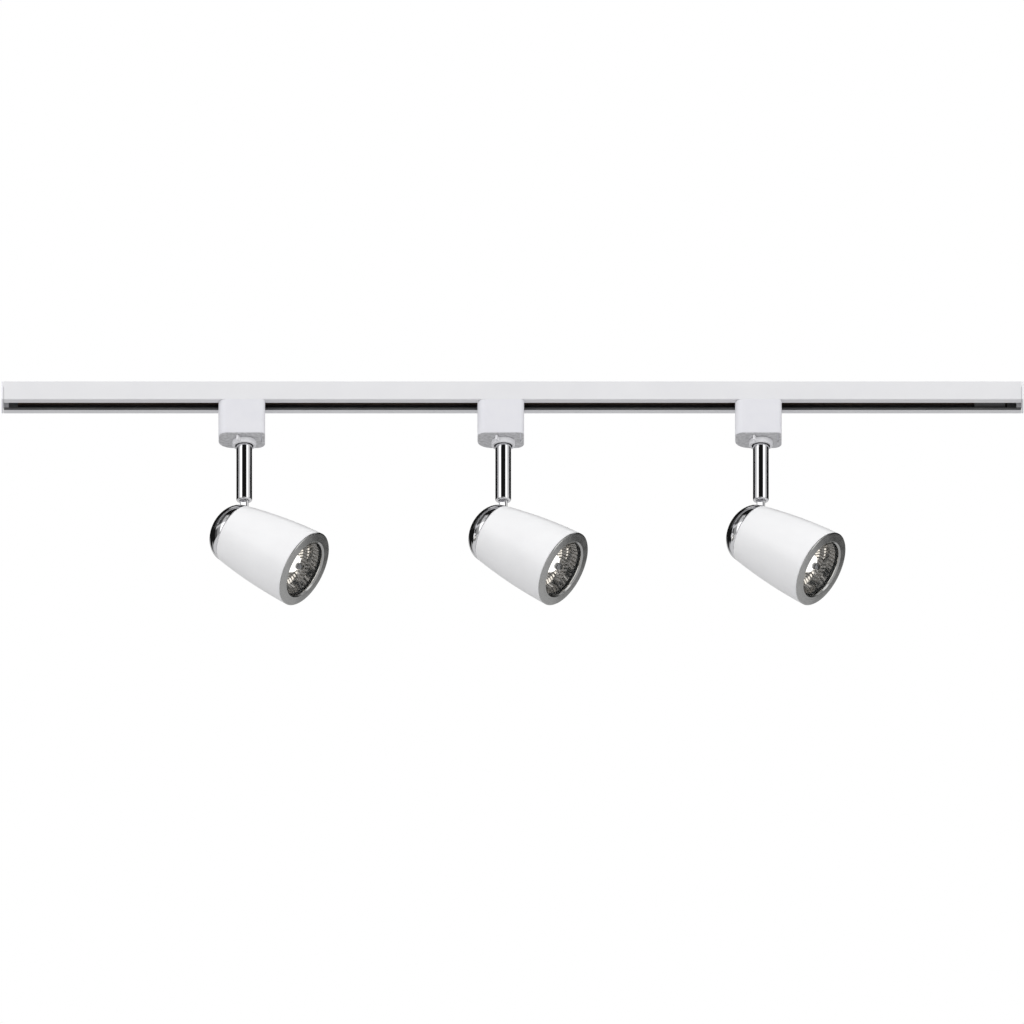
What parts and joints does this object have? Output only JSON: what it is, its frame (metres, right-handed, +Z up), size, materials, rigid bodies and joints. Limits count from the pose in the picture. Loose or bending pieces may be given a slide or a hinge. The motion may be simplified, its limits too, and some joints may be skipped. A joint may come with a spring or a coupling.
{
  "type": "track lighting fixture",
  "caption": "Ceiling track light: a slotted white rail with adjustable spotlights, each on a twist-lock adapter and chrome stem, with a tapered white shade, chrome rear dome and reflector lamp.",
  "frame": {"origin": "centre of the rail's top face, which lies against the ceiling", "axes": "+X along the rail towards its feed end, +Z up to the ceiling, -Y towards the side that the lamps are seen from"},
  "size_m": [1, 0.0894, 0.2341],
  "materials": {
    "white_paint": "satin",
    "white_plastic": "satin",
    "black_plastic": "matte",
    "copper": "satin",
    "brass": "satin",
    "chrome": "polished",
    "zinc_steel": "satin",
    "satin_nickel": "satin",
    "reflector_glass": "polished",
    "clear_glass": "gloss",
    "ceramic": "matte"
  },
  "bodies": {
    "track": {"track_channel": "white_paint", "insulator_front": "black_plastic", "insulator_rear": "black_plastic", "conductor_live": "copper", "conductor_neutral": "copper", "ground_strip": "copper", "end_cap_left": "white_plastic", "end_cap_right": "white_plastic", "feed_block": "black_plastic"},
    "adapter_1": {"adapter_housing_1": "white_plastic", "adapter_cover_1": "white_plastic"},
    "rotor_1": {"contact_neck_1": "black_plastic", "live_contact_1": "brass", "neutral_contact_1": "brass", "lock_collar_1": "white_plastic"},
    "stem_1": {"stem_1": "chrome", "stem_nut_1": "zinc_steel", "swivel_arm_1": "chrome"},
    "head_1": {"shade_1": "white_paint", "rear_cap_1": "chrome", "front_ring_1": "satin_nickel", "lamp_lens_1": "clear_glass", "lamp_1": "reflector_glass", "lampholder_1": "ceramic", "head_bracket_1": "zinc_steel", "pivot_pin_1": "zinc_steel"},
    "adapter_2": {"adapter_housing_2": "white_plastic", "adapter_cover_2": "white_plastic"},
    "rotor_2": {"contact_neck_2": "black_plastic", "live_contact_2": "brass", "neutral_contact_2": "brass", "lock_collar_2": "white_plastic"},
    "stem_2": {"stem_2": "chrome", "stem_nut_2": "zinc_steel", "swivel_arm_2": "chrome"},
    "head_2": {"shade_2": "white_paint", "rear_cap_2": "chrome", "front_ring_2": "satin_nickel", "lamp_lens_2": "clear_glass", "lamp_2": "reflector_glass", "lampholder_2": "ceramic", "head_bracket_2": "zinc_steel", "pivot_pin_2": "zinc_steel"},
    "adapter_3": {"adapter_housing_3": "white_plastic", "adapter_cover_3": "white_plastic"},
    "rotor_3": {"contact_neck_3": "black_plastic", "live_contact_3": "brass", "neutral_contact_3": "brass", "lock_collar_3": "white_plastic"},
    "stem_3": {"stem_3": "chrome", "stem_nut_3": "zinc_steel", "swivel_arm_3": "chrome"},
    "head_3": {"shade_3": "white_paint", "rear_cap_3": "chrome", "front_ring_3": "satin_nickel", "lamp_lens_3": "clear_glass", "lamp_3": "reflector_glass", "lampholder_3": "ceramic", "head_bracket_3": "zinc_steel", "pivot_pin_3": "zinc_steel"}
  },
  "joints": [
    {"name": "adapter_slide_1", "type": "slide", "parent": "track", "child": "adapter_1", "axis": [1, 0, 0], "range_m": [-0.2, 0.04]},
    {"name": "lock_turn_1", "type": "hinge", "parent": "adapter_1", "child": "rotor_1", "pos_m": [-0.2625, 0, -0.0583], "axis": [0, 0, 1], "range_deg": [0, 90]},
    {"name": "pan_1", "type": "hinge", "parent": "adapter_1", "child": "stem_1", "pos_m": [-0.2625, 0, -0.08], "axis": [0, 0, 1], "range_deg": [-175, 175]},
    {"name": "tilt_1", "type": "hinge", "parent": "stem_1", "child": "head_1", "pos_m": [-0.2625, 0, -0.1604], "axis": [0.3223, 0.9466, 0], "range_deg": [-4.5, 56.6]},
    {"name": "adapter_slide_2", "type": "slide", "parent": "track", "child": "adapter_2", "axis": [1, 0, 0], "range_m": [-0.04, 0.04]},
    {"name": "lock_turn_2", "type": "hinge", "parent": "adapter_2", "child": "rotor_2", "pos_m": [-0.0091, 0, -0.0583], "axis": [0, 0, 1], "range_deg": [0, 90]},
    {"name": "pan_2", "type": "hinge", "parent": "adapter_2", "child": "stem_2", "pos_m": [-0.0091, 0, -0.08], "axis": [0, 0, 1], "range_deg": [-175, 175]},
    {"name": "tilt_2", "type": "hinge", "parent": "stem_2", "child": "head_2", "pos_m": [-0.0091, 0, -0.1604], "axis": [0.3223, 0.9466, 0], "range_deg": [-4.5, 56.6]},
    {"name": "adapter_slide_3", "type": "slide", "parent": "track", "child": "adapter_3", "axis": [1, 0, 0], "range_m": [-0.04, 0.19]},
    {"name": "lock_turn_3", "type": "hinge", "parent": "adapter_3", "child": "rotor_3", "pos_m": [0.243, 0, -0.0583], "axis": [0, 0, 1], "range_deg": [0, 90]},
    {"name": "pan_3", "type": "hinge", "parent": "adapter_3", "child": "stem_3", "pos_m": [0.243, 0, -0.08], "axis": [0, 0, 1], "range_deg": [-175, 175]},
    {"name": "tilt_3", "type": "hinge", "parent": "stem_3", "child": "head_3", "pos_m": [0.243, 0, -0.1604], "axis": [0.3223, 0.9466, 0], "range_deg": [-4.5, 56.6]}
  ]
}
